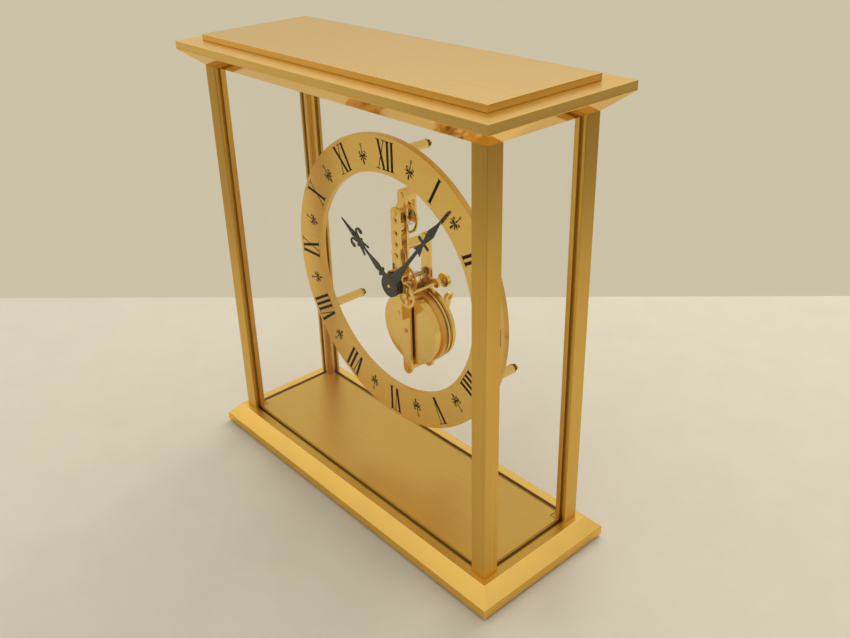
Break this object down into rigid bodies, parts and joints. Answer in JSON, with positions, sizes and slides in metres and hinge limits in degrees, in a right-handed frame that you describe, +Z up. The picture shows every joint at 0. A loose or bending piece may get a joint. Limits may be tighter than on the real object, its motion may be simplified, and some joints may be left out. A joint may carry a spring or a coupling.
{
  "type": "mantel clock",
  "caption": "Glazed brass mantel clock on a bevelled plinth: an open Roman chapter ring, black hands and a skeleton in-line movement carried by the rear glass, wound and set from behind.",
  "frame": {"origin": "middle of the footprint, on the surface that the foot pads stand on", "axes": "+X to the right seen from the front, +Y to the back, +Z up; the dial faces -Y"},
  "size_m": [0.2088, 0.0798, 0.2213],
  "materials": {
    "brass_satin": "satin brushed",
    "gilt_brass": "polished gilt",
    "steel": "polished",
    "black_hand": "gloss black",
    "glass": "clear polished",
    "felt": "felt",
    "fibre": "fibre",
    "ruby": "polished"
  },
  "bodies": {
    "clock_case": {"balance_cock": "gilt_brass", "base_plinth": "brass_satin", "base_underplate": "brass_satin", "bridge_jewels": "ruby", "bridge_pillars": "gilt_brass", "bridge_screws": "gilt_brass", "cap_plate": "brass_satin", "chapter_ring": "brass_satin", "cornice": "brass_satin", "floor_plate": "brass_satin", "foot_pads": "felt", "glass_front": "glass", "glass_left": "glass", "glass_rear": "glass", "glass_right": "glass", "glass_screws": "gilt_brass", "glass_washers": "fibre", "main_plate": "gilt_brass", "main_plate_screws": "gilt_brass", "movement_pillars": "gilt_brass", "pillar_front_left": "brass_satin", "pillar_front_right": "brass_satin", "pillar_rear_left": "brass_satin", "pillar_rear_right": "brass_satin", "pillar_screws_lower": "steel", "pillar_screws_upper": "steel", "rear_plate": "gilt_brass", "ring_posts": "brass_satin", "train_bridge": "gilt_brass"},
    "minute_train": {"centre_arbor": "steel", "centre_wheel": "gilt_brass", "cannon_pinion": "steel", "minute_hand": "black_hand", "hand_nut": "gilt_brass"},
    "hour_train": {"hour_wheel": "gilt_brass", "hour_hand": "black_hand"},
    "setting_train": {"setting_arbor": "gilt_brass", "minute_wheel": "gilt_brass", "setting_knob": "gilt_brass"},
    "relay_train": {"relay_pinion": "steel", "relay_wheel": "gilt_brass"},
    "barrel": {"barrel_drum": "gilt_brass", "barrel_cover": "gilt_brass", "mainspring": "steel"},
    "winding_train": {"barrel_arbor": "steel", "ratchet_wheel": "steel", "winding_key": "gilt_brass"},
    "click_lever": {"click": "steel"},
    "third_train": {"third_pinion": "steel", "third_wheel": "gilt_brass"},
    "fourth_train": {"fourth_pinion": "steel", "fourth_wheel": "gilt_brass"},
    "escape_train": {"escape_pinion": "steel", "escape_wheel": "gilt_brass"},
    "lever": {"pallet_lever": "steel"},
    "balance": {"balance_staff": "steel", "balance_wheel": "gilt_brass", "hairspring": "steel"}
  },
  "joints": [
    {"name": "hands_turn", "type": "hinge", "parent": "clock_case", "child": "minute_train", "pos_m": [0, 0.005, 0.1098], "axis": [0, 1, 0], "continuous": true},
    {"name": "hour_turn", "type": "hinge", "parent": "clock_case", "child": "hour_train", "pos_m": [0, 0.004, 0.1098], "axis": [0, 1, 0], "continuous": true},
    {"name": "setting_turn", "type": "hinge", "parent": "clock_case", "child": "setting_train", "pos_m": [0.007, 0.02, 0.1054], "axis": [0, 1, 0], "continuous": true},
    {"name": "relay_turn", "type": "hinge", "parent": "clock_case", "child": "relay_train", "pos_m": [-0.00339, 0.02, 0.10222], "axis": [0, 1, 0], "continuous": true},
    {"name": "barrel_turn", "type": "hinge", "parent": "clock_case", "child": "barrel", "pos_m": [0, 0.018, 0.0817], "axis": [0, 1, 0], "continuous": true},
    {"name": "third_turn", "type": "hinge", "parent": "clock_case", "child": "third_train", "pos_m": [0, 0.0095, 0.1178], "axis": [0, 1, 0], "continuous": true},
    {"name": "fourth_turn", "type": "hinge", "parent": "clock_case", "child": "fourth_train", "pos_m": [0, 0.0095, 0.1238], "axis": [0, 1, 0], "continuous": true},
    {"name": "escape_turn", "type": "hinge", "parent": "clock_case", "child": "escape_train", "pos_m": [0, 0.0095, 0.1297], "axis": [0, 1, 0], "continuous": true},
    {"name": "key_wind", "type": "hinge", "parent": "clock_case", "child": "winding_train", "pos_m": [0, 0.025, 0.0817], "axis": [0, 1, 0], "range_deg": [-2160, 0]},
    {"name": "click_pivot", "type": "hinge", "parent": "clock_case", "child": "click_lever", "pos_m": [-0.00771, 0.024, 0.09089], "axis": [0, 1, 0], "range_deg": [0, 20], "stiffness_Nm_per_rad": 0.0002},
    {"name": "lever_rock", "type": "hinge", "parent": "clock_case", "child": "lever", "pos_m": [0, 0.0092, 0.1354], "axis": [0, 1, 0], "range_deg": [-4, 4]},
    {"name": "balance_swing", "type": "hinge", "parent": "clock_case", "child": "balance", "pos_m": [0, 0.013, 0.1418], "axis": [0, 1, 0], "range_deg": [-140, 140], "stiffness_Nm_per_rad": 0.000005}
  ],
  "couplings": [
    {"joint": "hour_turn", "follows": "hands_turn", "ratio": 0.083333},
    {"joint": "setting_turn", "follows": "hands_turn", "ratio": -0.33333},
    {"joint": "relay_turn", "follows": "hands_turn", "ratio": -0.33333},
    {"joint": "barrel_turn", "follows": "hands_turn", "ratio": 0.027778},
    {"joint": "third_turn", "follows": "hands_turn", "ratio": -6},
    {"joint": "fourth_turn", "follows": "hands_turn", "ratio": 45},
    {"joint": "escape_turn", "follows": "hands_turn", "ratio": -360}
  ]
}
